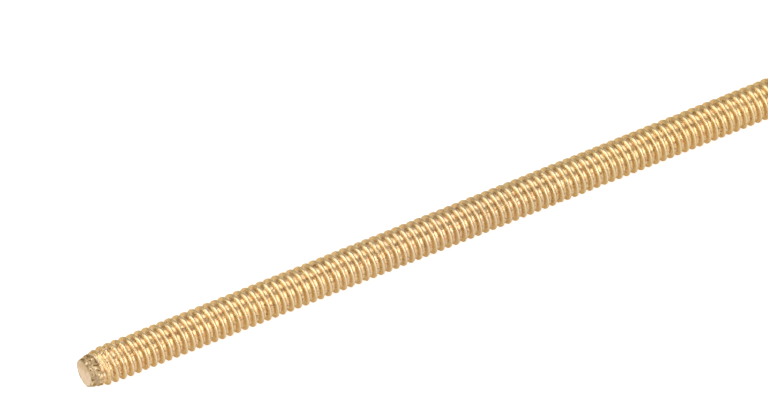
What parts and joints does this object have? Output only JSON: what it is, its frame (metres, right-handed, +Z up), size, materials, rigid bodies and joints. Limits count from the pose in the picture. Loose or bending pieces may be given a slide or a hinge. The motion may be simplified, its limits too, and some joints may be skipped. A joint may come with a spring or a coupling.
{
  "type": "threaded rod",
  "caption": "Slim straight brass rod, threaded over its whole length, with a long shallow chamfer at each end; it takes nuts or joins tapped holes.",
  "frame": {"origin": "centre of the near end face, on the rod's axis", "axes": "+X along the rod's axis from the near end face to the far one, +Z up when the rod lies on a level surface"},
  "size_m": [0.1524, 0.0047, 0.0048],
  "materials": {
    "rod_brass": "bright rolled thread, with dull sawn end faces and chamfers"
  },
  "bodies": {
    "root": {"threaded_rod": "rod_brass"}
  },
  "joints": []
}
